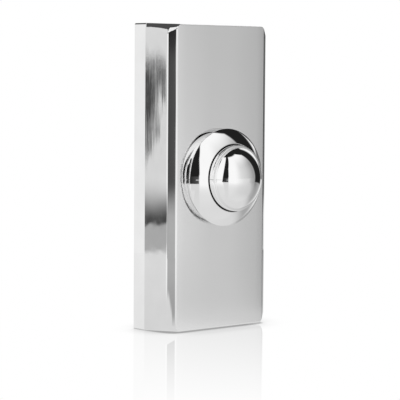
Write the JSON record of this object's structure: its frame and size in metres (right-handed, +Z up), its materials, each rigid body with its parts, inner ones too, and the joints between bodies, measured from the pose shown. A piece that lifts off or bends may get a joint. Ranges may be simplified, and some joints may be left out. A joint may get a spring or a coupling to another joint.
{
  "type": "doorbell push button",
  "caption": "Wired doorbell push: bevelled rectangular chrome housing on a wall plate, with a round conical bezel and a sprung domed button that bridges contacts.",
  "frame": {"origin": "centre of the base plate's back, on the wall plane and on the button's axis", "axes": "+Z up as mounted, front towards -Y, wall on the side of +Y, +X to the right seen from the front"},
  "size_m": [0.035, 0.0258, 0.08],
  "materials": {
    "housing_chrome": "hand-polished chrome plate on a zinc casting",
    "bezel_chrome": "bright chrome plate on turned brass",
    "button_chrome": "bright chrome plate on turned brass",
    "nut_brass": "turned brass",
    "contact_brass": "stamped brass strip",
    "contact_silver": "silver-plated contact rivet",
    "plated_steel": "zinc-plated steel",
    "spring_steel": "spring steel",
    "plunger_plastic": "moulded ivory plastic",
    "base_plastic": "moulded black plastic, lightly grained"
  },
  "bodies": {
    "body": {"housing": "housing_chrome", "bezel_ring": "bezel_chrome", "ring_nut": "nut_brass", "contact_strip_left": "contact_brass", "contact_strip_right": "contact_brass", "strip_rivet_left": "contact_brass", "strip_rivet_right": "contact_brass", "contact_tip_left": "contact_silver", "contact_tip_right": "contact_silver", "clamp_washer_left": "plated_steel", "clamp_washer_right": "plated_steel", "terminal_screw_left": "plated_steel", "terminal_screw_right": "plated_steel", "cover_screw": "plated_steel", "bezel_washer": "spring_steel", "return_spring": "spring_steel", "base_plate": "base_plastic"},
    "button": {"button_cap": "button_chrome", "plunger": "plunger_plastic", "bridge_disc": "contact_brass", "retaining_clip": "spring_steel"}
  },
  "joints": [
    {"name": "button_press", "type": "slide", "parent": "body", "child": "button", "axis": [0, 1, 0], "range_m": [0, 0.0015], "stiffness_N_per_m": 1100, "springref_m": -0.0016, "deforming": ["return_spring"]}
  ]
}
